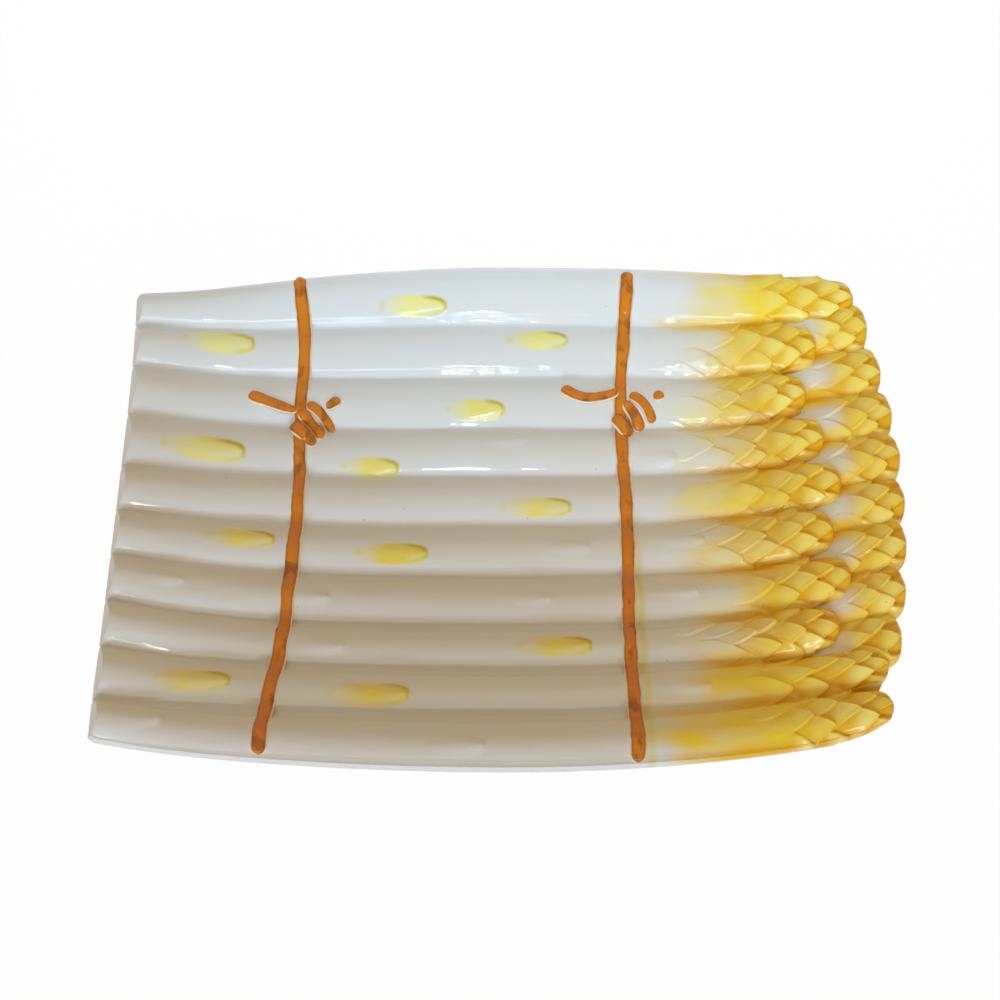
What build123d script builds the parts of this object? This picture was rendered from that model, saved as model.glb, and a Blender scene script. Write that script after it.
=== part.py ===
from build123d import *
import math
import os

# A glazed serving plate moulded as a bundle of asparagus spears, in millimetres.
# X runs along the spears from the cut ends to the tips, Y to the far side, Z up from the table.

# Plan of the bundle: one width for each spear, far side first
LENGTH = 344.0
SPEAR_WIDTHS_MIDDLE = (25.5, 24.0, 24.5, 23.0, 24.5, 25.5, 25.5, 21.5, 22.0, 23.0)
SPEAR_WIDTHS_BUTT = (15.0, 20.5, 24.5, 26.0, 21.5, 20.5, 21.0, 20.5, 24.0, 17.5)
SPEAR_WIDTHS_TIP = (21.0, 23.5, 22.5, 22.5, 22.0, 20.5, 21.5, 20.5, 18.0, 19.0)
BUTT_LEAN = -2.0            # how far the cut ends lean to the far side
TIP_LEAN = 6.5              # the same at the tips
TIP_ARC_RADIUS = 350.0      # curve, seen from above, on which the lower row's tips end
TIP_ARC_Y = 15.0            # where that curve reaches furthest
TIP_OVERHANG = 3.0          # the lower row's tips beyond the edge of the dish

# Dish
FLOOR_HEIGHT = 8.0          # table to the grooves in the middle of the plate
END_RISE = 24.0             # middle to the grooves at the two ends
SIDE_RISE = 26.0            # middle to the long edges
END_CURVE = 2.7             # power of the rise towards the ends
SIDE_CURVE = 1.9            # power of the rise towards the long edges
CORNER_BLEND = 3.0          # how the two rises join in the corners
WALL = 4.5                  # thickness under the grooves
RIM_LEDGE = 0.6             # dish edge beyond the spears
CORNER_START = 0.6          # share of the half width where an end starts to round into its corner
BUTT_CORNER = 4.0           # end drawn back at the two butt corners
TIP_CORNER = 12.0           # end drawn back at the two tip corners

# Foot ring under the dish
FOOT_LENGTH = 190.0
FOOT_WIDTH = 112.0
FOOT_CORNER_RADIUS = 50.0
FOOT_THICKNESS = 7.0

# Spears of the upper row
RELIEF = 6.0                # groove to crest
TIP_RELIEF = 7.5            # the same at the start of the tip
SWELL_LENGTH = 60.0         # how far before the rounded tip a spear starts to swell
GROOVE_GAP = 0.3            # open line between two neighbours, at the bottom of their groove
SEAT_GAP = 0.1              # slip joint under each piece
BUTT_DRAFT = 20.0           # lean of the cut ends, in degrees
BUTT_LEDGE = 1.0            # dish edge beyond the cut ends
TIP_SETBACKS = (13.0, 31.0, 37.0, 31.0, 26.0, 31.0, 26.0, 33.0, 14.5, 15.5)     # tips behind the plate's far end
TIP_TAPERS = (34.0, 24.0, 24.0, 24.0, 24.0, 24.0, 24.0, 24.0, 30.0, 36.0)       # length of the rounded tips

# Tips of the lower row, one in each groove between two spears
REAR_WIDTH = 19.0
REAR_RELIEF = 5.0
REAR_GAP = 0.5              # beside the upper tips
REAR_START = 3.0            # width where they start to show between two upper tips
REAR_ROUND = 18.0           # length of the rounded end
REAR_CLOSING = 0.96         # share of the groove's distance from the middle line

# Cords: hand-placed points (x, y) across the bundle
CORD_WIDTH = 5.6
CORD_HEIGHT = 2.7           # cord top above a spear's crest
CORD_BRIDGE = 2.4           # cord underside above the bottom of a groove
CORD_END = 1.0              # cord end inside the edge of the bundle
BUTT_CORD = ((-97.8, 113), (-93.6, 85), (-95.0, 66), (-95.5, 45), (-94.4, 22), (-94.3, -2),
             (-95.7, -31), (-96.6, -60), (-99.7, -84), (-101.6, -103), (-100.7, -116))
TIP_CORD = ((54.8, 116), (53.2, 89), (51.0, 66), (50.5, 45), (52.3, 9), (52.1, -20),
            (51.2, -40), (50.8, -64), (51.0, -88), (51.4, -107), (50.9, -118))

# Knots: sausages of clay from one hand-placed point (x, y) to another
WRAP_RADIUS = 2.7
WRAP_LIFT = 2.2             # wrap's middle line above the spears
TAIL_RADIUS = 2.6
TAIL_LIFT = 0.9             # tail's middle line above the spears
SHORT_TAIL_RADIUS = 2.8
KNOT_GAP = 0.15             # tails and wraps, clear of each other
BUTT_WRAPS = (((-97.0, 40.6), (-88.2, 34.6)), ((-94.0, 47.6), (-84.6, 39.0)), ((-91.0, 53.0), (-81.0, 43.6)))
BUTT_LONG_TAIL = ((-116.0, 55.6), (-101.0, 51.4))
BUTT_SHORT_TAIL = ((-83.0, 53.2), (-78.6, 55.2))
TIP_WRAPS = (((47.6, 46.0), (55.8, 40.4)), ((51.6, 52.6), (60.4, 43.6)), ((56.0, 57.4), (64.8, 48.4)))
TIP_LONG_TAIL = ((26.6, 60.6), (48.0, 58.6))
TIP_SHORT_TAIL = ((64.6, 57.4), (69.4, 58.8))

HALF_LENGTH = LENGTH / 2
HALF_WIDTH = sum(SPEAR_WIDTHS_MIDDLE) / 2
SPEAR_COUNT = len(SPEAR_WIDTHS_MIDDLE)
BUTT_X = -HALF_LENGTH + BUTT_LEDGE
TIP_ENDS = [HALF_LENGTH - setback for setback in TIP_SETBACKS]
TALL = FLOOR_HEIGHT + END_RISE + SIDE_RISE
ROUNDED_END = (0.4, 0.65, 0.84, 0.95, 0.99)     # stations along a rounded end


def groove_lines(widths, lean):
    """Y of every groove line, with the bundle's two edges as first and last."""
    lines = [lean + sum(widths) / 2]
    for width in widths:
        lines.append(lines[-1] - width)
    return lines


GROOVES_MIDDLE = groove_lines(SPEAR_WIDTHS_MIDDLE, 0)
GROOVES_BUTT = groove_lines(SPEAR_WIDTHS_BUTT, BUTT_LEAN)
GROOVES_TIP = groove_lines(SPEAR_WIDTHS_TIP, TIP_LEAN)


def groove_y(line, x):
    """Each groove bows from its middle place to its place at the nearer end."""
    ends = GROOVES_BUTT if x < 0 else GROOVES_TIP
    share = (x / HALF_LENGTH) ** 2
    return GROOVES_MIDDLE[line] + (ends[line] - GROOVES_MIDDLE[line]) * share


def seat_height(x, y):
    """Height of the dish's upper face."""
    end = END_RISE * (abs(x) / HALF_LENGTH) ** END_CURVE
    side = SIDE_RISE * (abs(y) / HALF_WIDTH) ** SIDE_CURVE
    return FLOOR_HEIGHT + (end ** CORNER_BLEND + side ** CORNER_BLEND) ** (1 / CORNER_BLEND)


def seat_point(x, y):
    return Vector(x, y, seat_height(x, y) + SEAT_GAP)


def arc_height(across, half_chord, rise):
    """Height of a circular arch over its chord, across running from -1 to 1."""
    radius = (half_chord ** 2 + rise ** 2) / (2 * rise)
    return math.sqrt(radius ** 2 - (across * half_chord) ** 2) - radius + rise


def bundle_height(x, y):
    """Height of the spears' upper side at a place in plan, away from the tips."""
    line = 0
    while line < SPEAR_COUNT - 1 and y < groove_y(line + 1, x):
        line += 1
    far, near = seat_point(x, groove_y(line, x)), seat_point(x, groove_y(line + 1, x))
    half = (far - near).length / 2
    lean = (far.Z - near.Z) / (far.Y - near.Y)
    foot = y
    for _ in range(4):
        across = max(-1, min(1, (2 * foot - far.Y - near.Y) / (far.Y - near.Y)))
        rise = arc_height(across, half, RELIEF) / math.sqrt(1 + lean ** 2)
        foot = y + rise * lean
    return (far.Z + near.Z) / 2 + lean * (foot - (far.Y + near.Y) / 2) + rise


def tip_end(y):
    """Where the lower row ends, on the curve of the tips."""
    centre = HALF_LENGTH - TIP_ARC_RADIUS
    return centre + math.sqrt(TIP_ARC_RADIUS ** 2 - (y - TIP_ARC_Y) ** 2)


def spread(start, stop, count):
    return [start + (stop - start) * i / (count - 1) for i in range(count)]


def dish_point(along, across):
    """A point of the dish's upper face: along from the butt end to the tips, across from -1 to 1."""
    corner = max(0, (abs(across) - CORNER_START) / (1 - CORNER_START)) ** 3
    far, near = GROOVES_TIP[0], GROOVES_TIP[-1]
    tip_y = (far + near) / 2 + (far - near) / 2 * across
    right = tip_end(tip_y) - TIP_OVERHANG - TIP_CORNER * corner
    left = -HALF_LENGTH + BUTT_CORNER * corner
    x = left + (right - left) * along
    far, near = groove_y(0, x) + RIM_LEDGE, groove_y(SPEAR_COUNT, x) - RIM_LEDGE
    y = (far + near) / 2 + (far - near) / 2 * across
    return Vector(x, y, seat_height(x, y))


def dish_base():
    """The dish: one smooth upper face given its thickness straight down."""
    points = [[dish_point(along, across) for across in spread(-1, 1, 25)] for along in spread(0, 1, 25)]
    return Solid.extrude(Face.make_surface_from_array_of_points(points), Vector(0, 0, -WALL))


def foot_ring(base):
    outer = RectangleRounded(FOOT_LENGTH, FOOT_WIDTH, FOOT_CORNER_RADIUS)
    hollow_length, hollow_width = FOOT_LENGTH - 2 * FOOT_THICKNESS, FOOT_WIDTH - 2 * FOOT_THICKNESS
    inner = RectangleRounded(hollow_length, hollow_width, FOOT_CORNER_RADIUS - FOOT_THICKNESS)
    ring = extrude(outer - inner, TALL) - base
    return ring.solids().sort_by(Axis.Z)[0]


def domed_section(x, far_y, near_y, relief):
    """A slice that lies on the dish between two places, under an arched top."""
    far, near = seat_point(x, far_y), seat_point(x, near_y)
    chord = near - far
    upward = Vector(0, chord.Z, -chord.Y).normalized()
    crest = (far + near) * 0.5 + upward * relief
    under = seat_point(x, (far_y + near_y) / 2) * 2 - (far + near) * 0.5
    return Wire((ThreePointArc(far, crest, near), Bezier(near, under, far)))


def spear_sides(index, x):
    """Far and near side of a spear in plan, drawn in towards its rounded tip."""
    far, near = groove_y(index, x) - GROOVE_GAP / 2, groove_y(index + 1, x) + GROOVE_GAP / 2
    along = (x - TIP_ENDS[index] + TIP_TAPERS[index]) / TIP_TAPERS[index]
    share = math.sqrt(1 - min(1, max(0, along)) ** 2)
    middle, half = (far + near) / 2, (far - near) / 2 * share
    return middle + half, middle - half, share


def spear(index):
    """A spear with a leaning cut end and a rounded tip."""
    shoulder = TIP_ENDS[index] - TIP_TAPERS[index]
    stations = spread(BUTT_X, shoulder, 15)
    stations += [shoulder + TIP_TAPERS[index] * along for along in ROUNDED_END]
    wires = []
    for x in stations:
        far, near, share = spear_sides(index, x)
        swell = max(0, min(1, 1 + (x - shoulder) / SWELL_LENGTH))
        wires.append(domed_section(x, far, near, (RELIEF + (TIP_RELIEF - RELIEF) * swell ** 2) * share))
    hinge = Axis((BUTT_X, 0, seat_height(BUTT_X, groove_y(index, BUTT_X))), (0, 1, 0))
    wires[0] = wires[0].rotate(hinge, BUTT_DRAFT)
    return Solid.make_loft(wires)


def rear_room(line, x, share):
    """Far and near side of a lower tip, clear of the two upper tips beside it."""
    end = tip_end(GROOVES_TIP[line] * REAR_CLOSING)
    closing = 1 + (REAR_CLOSING - 1) * max(0, x) / end
    middle, half = groove_y(line, x) * closing, REAR_WIDTH / 2 * share
    far, near = middle + half, middle - half
    if x < TIP_ENDS[line - 1]:
        far = min(far, spear_sides(line - 1, x)[1] - REAR_GAP)
    if x < TIP_ENDS[line]:
        near = max(near, spear_sides(line, x)[0] + REAR_GAP)
    return far, near


def rear_tip(line):
    """A tip of the lower row, filling the space between two rounded tips of the upper row."""
    end = tip_end(GROOVES_TIP[line] * REAR_CLOSING)
    shoulder = end - REAR_ROUND
    start = shoulder
    while start > 0 and rear_room(line, start - 1, 1)[0] - rear_room(line, start - 1, 1)[1] > REAR_START:
        start -= 1
    stations = spread(start, shoulder, 6) + [shoulder + REAR_ROUND * along for along in ROUNDED_END]
    wires = []
    for x in stations:
        share = math.sqrt(1 - max(0, (x - shoulder) / REAR_ROUND) ** 2)
        far, near = rear_room(line, x, share)
        wires.append(domed_section(x, far, near, REAR_RELIEF * (far - near) / REAR_WIDTH))
    return Solid.make_loft(wires)


def cord_x(route, y):
    """The cord's place along the spears, straight between its points."""
    if y >= route[0][1]:
        return route[0][0]
    for (x_far, y_far), (x_near, y_near) in zip(route, route[1:]):
        if y >= y_near:
            return x_near + (x_far - x_near) * (y - y_near) / (y_far - y_near)
    return route[-1][0]


def cord_section(route, y, lift):
    """A half-round slice of a cord, standing on the spears or a little above a groove."""
    x, half = cord_x(route, y), CORD_WIDTH / 2
    left = Vector(x - half, y, bundle_height(x - half, y) + lift)
    right = Vector(x + half, y, bundle_height(x + half, y) + lift)
    crest = (left + right) * 0.5 + Vector(0, 0, CORD_HEIGHT)
    return Wire((ThreePointArc(left, crest, right), Line(right, left)))


def cord(route):
    """A cord over all the spears, bridging the bottom of each groove."""
    wires = []
    for index in range(SPEAR_COUNT):
        x = cord_x(route, GROOVES_MIDDLE[index])
        far, near = groove_y(index, x), groove_y(index + 1, x)
        for share in (0, 0.14, 0.3, 0.5, 0.7, 0.86):
            lift = CORD_BRIDGE if share == 0 else SEAT_GAP
            y = far + (near - far) * share
            if share == 0 and index == 0:
                y, lift = far - CORD_END, SEAT_GAP
            wires.append(cord_section(route, y, lift))
    wires.append(cord_section(route, near + CORD_END, SEAT_GAP))
    return Solid.make_loft(wires)


def largest(shape):
    """The main solid of a cut piece, without the scraps on the far side of the cut."""
    return max(shape.solids(), key=lambda solid: solid.volume)


def sausage(ends, radius, lift):
    """A round-ended roll of clay lying on the spears."""
    start, stop = [Vector(x, y, bundle_height(x, y) + lift) for x, y in ends]
    length = (stop - start).length
    roll = Cylinder(radius, length, align=(Align.CENTER, Align.CENTER, Align.MIN))
    roll += Sphere(radius) + Pos(0, 0, length) * Sphere(radius)
    return Plane(origin=start, z_dir=stop - start) * roll


def seated(roll, carriers):
    """A roll cut to the pieces that it lies on."""
    box = roll.bounding_box()
    near = [piece for piece in carriers if box.overlaps(piece.bounding_box())]
    return largest(roll - near)


def knot(name, wrap_ends, long_ends, short_ends, carriers):
    """Wraps and two tails of one knot, each clear of the others."""
    wraps = [seated(sausage(ends, WRAP_RADIUS, WRAP_LIFT), carriers) for ends in wrap_ends]
    room = [sausage(ends, WRAP_RADIUS + KNOT_GAP, WRAP_LIFT) for ends in wrap_ends]
    long_tail = seated(sausage(long_ends, TAIL_RADIUS, TAIL_LIFT), [*carriers, *room])
    short_tail = seated(sausage(short_ends, SHORT_TAIL_RADIUS, TAIL_LIFT), [*carriers, *room])
    return {
        name + "_wraps": Compound(wraps),
        name + "_long_tail": long_tail,
        name + "_short_tail": short_tail,
    }


def plate():
    base = dish_base()
    nodes = {"dish_base": base, "foot_ring": foot_ring(base)}
    spears = [spear(index) for index in range(SPEAR_COUNT)]
    for index, solid in enumerate(spears):
        nodes[f"spear_{index + 1:02d}"] = solid
    for line in range(1, SPEAR_COUNT - 1):
        nodes[f"rear_tip_{line:02d}"] = rear_tip(line)
    nodes["butt_cord"] = cord(BUTT_CORD)
    nodes["tip_cord"] = cord(TIP_CORD)
    butt_carriers = [*spears, nodes["butt_cord"]]
    tip_carriers = [*spears, nodes["tip_cord"]]
    nodes.update(knot("butt_knot", BUTT_WRAPS, BUTT_LONG_TAIL, BUTT_SHORT_TAIL, butt_carriers))
    nodes.update(knot("tip_knot", TIP_WRAPS, TIP_LONG_TAIL, TIP_SHORT_TAIL, tip_carriers))
    return nodes


os.makedirs("parts", exist_ok=True)
for name, shape in plate().items():
    export_step(shape, f"parts/{name}.step")
    box = shape.bounding_box()
    print(name, len(shape.solids()), shape.is_valid, round(shape.volume), box)
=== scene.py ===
import math

import bmesh
import bpy
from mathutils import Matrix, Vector


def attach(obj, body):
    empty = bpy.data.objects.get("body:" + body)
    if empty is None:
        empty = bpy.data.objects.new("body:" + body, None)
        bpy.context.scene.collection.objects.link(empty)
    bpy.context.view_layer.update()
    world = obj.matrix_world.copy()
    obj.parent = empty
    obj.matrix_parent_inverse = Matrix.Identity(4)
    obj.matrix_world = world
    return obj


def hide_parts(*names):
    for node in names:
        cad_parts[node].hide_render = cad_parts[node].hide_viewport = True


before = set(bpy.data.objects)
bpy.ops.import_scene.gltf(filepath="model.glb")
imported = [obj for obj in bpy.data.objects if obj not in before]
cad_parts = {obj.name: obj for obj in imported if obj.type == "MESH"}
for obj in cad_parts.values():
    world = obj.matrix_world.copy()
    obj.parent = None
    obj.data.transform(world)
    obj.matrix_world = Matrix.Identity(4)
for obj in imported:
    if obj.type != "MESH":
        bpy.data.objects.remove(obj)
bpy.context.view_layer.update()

# The bundle's plan in millimetres, as the solids have it, far side first
MM = 0.001
LENGTH = 344.0
WIDTHS_MIDDLE = (25.5, 24.0, 24.5, 23.0, 24.5, 25.5, 25.5, 21.5, 22.0, 23.0)
WIDTHS_BUTT = (15.0, 20.5, 24.5, 26.0, 21.5, 20.5, 21.0, 20.5, 24.0, 17.5)
WIDTHS_TIP = (21.0, 23.5, 22.5, 22.5, 22.0, 20.5, 21.5, 20.5, 18.0, 19.0)
BUTT_LEAN = -2.0
TIP_LEAN = 6.5
TIP_ARC_RADIUS = 350.0
TIP_ARC_Y = 15.0
TIP_OVERHANG = 3.0
TIP_SETBACKS = (13.0, 31.0, 37.0, 31.0, 26.0, 31.0, 26.0, 33.0, 14.5, 15.5)
TIP_TAPERS = (34.0, 24.0, 24.0, 24.0, 24.0, 24.0, 24.0, 24.0, 30.0, 36.0)
REAR_CLOSING = 0.96

# The dish, in millimetres
FLOOR_HEIGHT = 8.0
END_RISE = 24.0
SIDE_RISE = 26.0
END_CURVE = 2.7             # powers of the rise towards the ends and the sides
SIDE_CURVE = 1.9
CORNER_BLEND = 3.0
WALL = 4.5
RIM_LEDGE = -0.4
RIM_ROUNDING = 0.5
CORNER_START = 0.6          # share of the half width where the corners begin
BUTT_CORNER = 2.4
BUTT_CORNER_POWER = 7
TIP_CORNER = 18.0
TIP_CORNER_POWER = 3
BUTT_LEDGE = 1.0
BUTT_TUCK = 1.2             # the dish stops short of the cut ends

# The foot ring, in millimetres
FOOT_LENGTH = 190.0
FOOT_WIDTH = 112.0
FOOT_CORNER = 50.0
FOOT_THICKNESS = 7.0
FOOT_EDGE = ((0.0, 2.0), (0.5, 0.6), (1.8, 0.0))    # inset and height of its rounded lower edge
FOOT_SEAT = 0.6             # its top stands this far inside the dish's wall

# Spears and lower tips, in millimetres
RELIEF = 6.0
TIP_RELIEF = 7.5
SWELL_LENGTH = 60.0
CUT_EDGE = 4.0              # rounding round the cut ends
CUT_FACE = 0.84             # share of the girth that the flat cut face has
CUT_MIDDLE = 0.4            # height of the cut face's middle, as a share of the relief
BUTT_LENGTH = 40.0          # the slant of the cut ends fades out over this length
BUTT_DRAFT = math.tan(math.radians(34))     # slant of the cut ends
FAR_BUTT_FLARE = 1.2        # the far cut ends reach out a little
FLARE_START = 0.3           # as a share of the half width
NEAR_BUTT_CORNER = 0.9      # the near corner is rounded
NEAR_CORNER_START = 0.6
GROOVE_FILLET = 3.8         # glaze that fills the bottom of each groove
GROOVE_SKIRT = 130.0        # how steeply a stalk goes on down beyond its groove
END_LIFT = 4.2              # upper tips lie over the lower row
OUTER_END_LIFT = 1.5
LIFT_BEGINS = 44.0          # both from the end of the tip
LIFT_IS_FULL = 12.0
FINE_WAVER = 0.5            # unevenness of the hand-formed stalks
BROAD_WAVER = 0.9
REAR_HALF_WIDTH = 11.6
REAR_RELIEF = 6.5
REAR_START = 112.0
SUNK_LENGTH = 36.0          # the lower tips come up out of the grooves over this length

# Overlapping scales of a tip: lengths in millimetres, breadths in half widths of the stalk
SCALE_ROWS = 7
SCALES_PER_ROW = 3
SCALE_LENGTH = 17.0
SCALE_GROWTH = 5.0          # scales farther back are longer
SCALE_BREADTH = 0.66
SCALE_PITCH = 1.04
SCALE_SHIFT = 7.0
FIRST_APEX = 0.4
SCALE_SINK = 0.4            # the tip shrinks by this share of a scale's height before it gets scales

# Cord routes across the bundle, points (x, y) in millimetres
BUTT_CORD = ((-97.8, 114), (-93.6, 85), (-95.0, 66), (-95.5, 45), (-94.4, 22), (-94.3, -2),
             (-95.7, -31), (-96.6, -60), (-99.7, -84), (-101.6, -103), (-101.2, -113.4))
TIP_CORD = ((54.8, 116), (53.2, 89), (51.0, 66), (50.5, 45), (52.3, 9), (52.1, -20),
            (51.2, -40), (50.8, -64), (51.0, -88), (51.4, -107), (51.0, -116.8))
CORD_HALF_WIDTH = 3.2

# Knots, points (x, y, half width) in millimetres: three wraps, a long tail, a short tail
BUTT_WRAPS = (
    ((-99.4, 44.4, 3.5), (-94.4, 41.2, 3.8), (-88.4, 34.2, 3.0)),
    ((-96.0, 49.8, 2.8), (-90.2, 46.8, 3.3), (-85.0, 38.2, 2.8)),
    ((-92.6, 53.8, 2.4), (-86.0, 52.0, 2.9), (-80.6, 42.4, 2.4)),
)
BUTT_LONG_TAIL = ((-119.0, 57.0, 3.2), (-111.0, 54.4, 3.1), (-96.4, 50.2, 1.9))
BUTT_SHORT_TAIL = ((-83.8, 52.6, 2.3), (-77.4, 56.4, 2.9))
TIP_WRAPS = (
    ((47.6, 48.8, 3.3), (51.6, 44.6, 3.6), (55.2, 39.8, 2.9)),
    ((52.0, 54.4, 2.8), (57.8, 51.2, 3.2), (60.2, 43.2, 2.9)),
    ((55.0, 58.8, 2.4), (62.0, 56.4, 2.9), (65.8, 46.8, 2.5)),
)
TIP_LONG_TAIL = ((24.0, 62.4, 3.0), (31.0, 57.4, 2.8), (40.0, 57.0, 2.6), (50.0, 59.8, 2.2))
TIP_SHORT_TAIL = ((66.0, 57.2, 2.3), (70.8, 59.4, 2.6))

# Bracts on the stalks, listed in millimetres: x and y of the apex, length, width, share of yellow
BRACTS = (
    (-29.0, 101.8, 32.0, 10.5, 1.0), (-117.0, 83.2, 36.0, 13.0, 1.0), (27.0, 86.0, 29.0, 10.5, 1.0),
    (-2.0, 53.6, 28.0, 10.5, 1.0), (-118.5, 29.0, 40.0, 13.0, 1.0), (-50.0, 25.8, 27.0, 9.5, 1.0),
    (28.0, 6.0, 33.0, 10.0, 1.0), (-103.0, -13.0, 31.0, 10.0, 1.0), (-36.0, -17.5, 33.0, 11.0, 1.0),
    (35.0, -64.0, 33.0, 11.0, 1.0), (-116.0, -81.6, 35.0, 11.5, 1.0), (-41.5, -87.5, 36.0, 11.5, 1.0),
    (8.0, 39.0, 22.0, 9.0, 0.0), (-140.0, -35.0, 24.0, 9.0, 0.0), (-78.0, -40.0, 20.0, 9.0, 0.0),
    (-70.0, -64.5, 24.0, 9.0, 0.0), (36.0, -14.8, 20.0, 9.0, 0.0), (18.0, -40.6, 22.0, 9.0, 0.0),
    (-10.0, -112.0, 26.0, 10.0, 0.0), (-142.0, -100.0, 24.0, 10.0, 0.0), (76.0, 29.5, 22.0, 9.0, 0.0),
    (92.0, 78.0, 20.0, 9.0, 0.0), (86.0, -12.0, 20.0, 9.0, 0.0), (82.0, -37.0, 20.0, 9.0, 0.0),
    (84.0, -84.0, 22.0, 9.0, 0.0),
)
BRACTS_PER_SPEAR = 4
BRACT_HEIGHT = 1.1

HALF_LENGTH = LENGTH / 2
HALF_WIDTH = sum(WIDTHS_MIDDLE) / 2
SPEAR_COUNT = len(WIDTHS_MIDDLE)
BUTT_X = -HALF_LENGTH + BUTT_LEDGE
TIP_ENDS = [HALF_LENGTH - setback for setback in TIP_SETBACKS]
FAR_AWAY = 900.0


class Field:
    """A number that varies over a surface. Arithmetic with it adds Math nodes to its tree."""

    def __init__(self, tree, socket):
        self.tree = tree
        self.socket = socket

    def math(self, operation, *others):
        node = self.tree.nodes.new("ShaderNodeMath")
        node.operation = operation
        for socket, value in zip(node.inputs, (self, *others)):
            connect(self.tree, value, socket)
        return Field(self.tree, node.outputs[0])

    def __add__(self, other):
        return self.math("ADD", other)

    def __sub__(self, other):
        return self.math("SUBTRACT", other)

    def __mul__(self, other):
        return self.math("MULTIPLY", other)

    def __truediv__(self, other):
        return self.math("DIVIDE", other)

    def __pow__(self, other):
        return self.math("POWER", other)

    def __abs__(self):
        return self.math("ABSOLUTE")

    def __neg__(self):
        return self * -1

    __radd__ = __add__
    __rmul__ = __mul__

    def __rsub__(self, other):
        return self * -1 + other

    def root(self):
        return self.math("SQRT")

    def most(self, other):
        return self.math("MAXIMUM", other)

    def least(self, other):
        return self.math("MINIMUM", other)

    def clamp(self):
        return self.most(0.0).least(1.0)

    def smooth(self, low, high):
        """0 below low, 1 above high, an S-curve between."""
        node = self.tree.nodes.new("ShaderNodeMapRange")
        node.interpolation_type = "SMOOTHSTEP"
        for name, value in (("Value", self), ("From Min", low), ("From Max", high)):
            connect(self.tree, value, node.inputs[name])
        return Field(self.tree, node.outputs[0])

    def toward(self, other, share):
        return self + (other - self) * share


def connect(tree, value, socket):
    """Feed a socket from a field, from another node or with a plain value."""
    if isinstance(value, Field):
        tree.links.new(value.socket, socket)
    elif isinstance(value, bpy.types.NodeSocket):
        tree.links.new(value, socket)
    else:
        socket.default_value = value


def groove_lines(widths, lean):
    """Y of every groove line, with the bundle's two edges as first and last."""
    lines = [lean + sum(widths) / 2]
    for width in widths:
        lines.append(lines[-1] - width)
    return lines


GROOVES_MIDDLE = groove_lines(WIDTHS_MIDDLE, 0)
GROOVES_BUTT = groove_lines(WIDTHS_BUTT, BUTT_LEAN)
GROOVES_TIP = groove_lines(WIDTHS_TIP, TIP_LEAN)


def bowed(middle, butt, tip, x):
    """A groove line bows from its middle place to its place at the nearer end."""
    if isinstance(x, Field):
        left, right = x.least(0.0), x.most(0.0)
    else:
        left, right = min(x, 0.0), max(x, 0.0)
    to_butt = (butt - middle) * (left / HALF_LENGTH) ** 2
    to_tip = (tip - middle) * (right / HALF_LENGTH) ** 2
    return middle + to_butt + to_tip


def groove_y(line, x):
    return bowed(GROOVES_MIDDLE[line], GROOVES_BUTT[line], GROOVES_TIP[line], x)


def seat_height(x, y):
    """Height of the dish's upper face, for numbers and for fields."""
    end = (abs(x) / HALF_LENGTH) ** END_CURVE * END_RISE
    side = (abs(y) / HALF_WIDTH) ** SIDE_CURVE * SIDE_RISE
    return (end ** CORNER_BLEND + side ** CORNER_BLEND) ** (1 / CORNER_BLEND) + FLOOR_HEIGHT


def tip_end(y):
    """Where the lower row ends, on the curve of the tips."""
    return HALF_LENGTH - TIP_ARC_RADIUS + math.sqrt(TIP_ARC_RADIUS ** 2 - (y - TIP_ARC_Y) ** 2)


class Nodes:
    """A node tree that is written step by step."""

    def __init__(self, tree):
        self.tree = tree

    def node(self, kind, inputs=(), **settings):
        made = self.tree.nodes.new(kind)
        for key, value in settings.items():
            setattr(made, key, value)
        for key, value in dict(inputs).items():
            connect(self.tree, value, made.inputs[key])
        return made

    def field(self, node, output=0):
        return Field(self.tree, node.outputs[output])

    def parts(self, vector):
        """The three numbers of a vector."""
        split = self.node("ShaderNodeSeparateXYZ", {0: vector})
        return [self.field(split, axis) for axis in range(3)]


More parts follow.
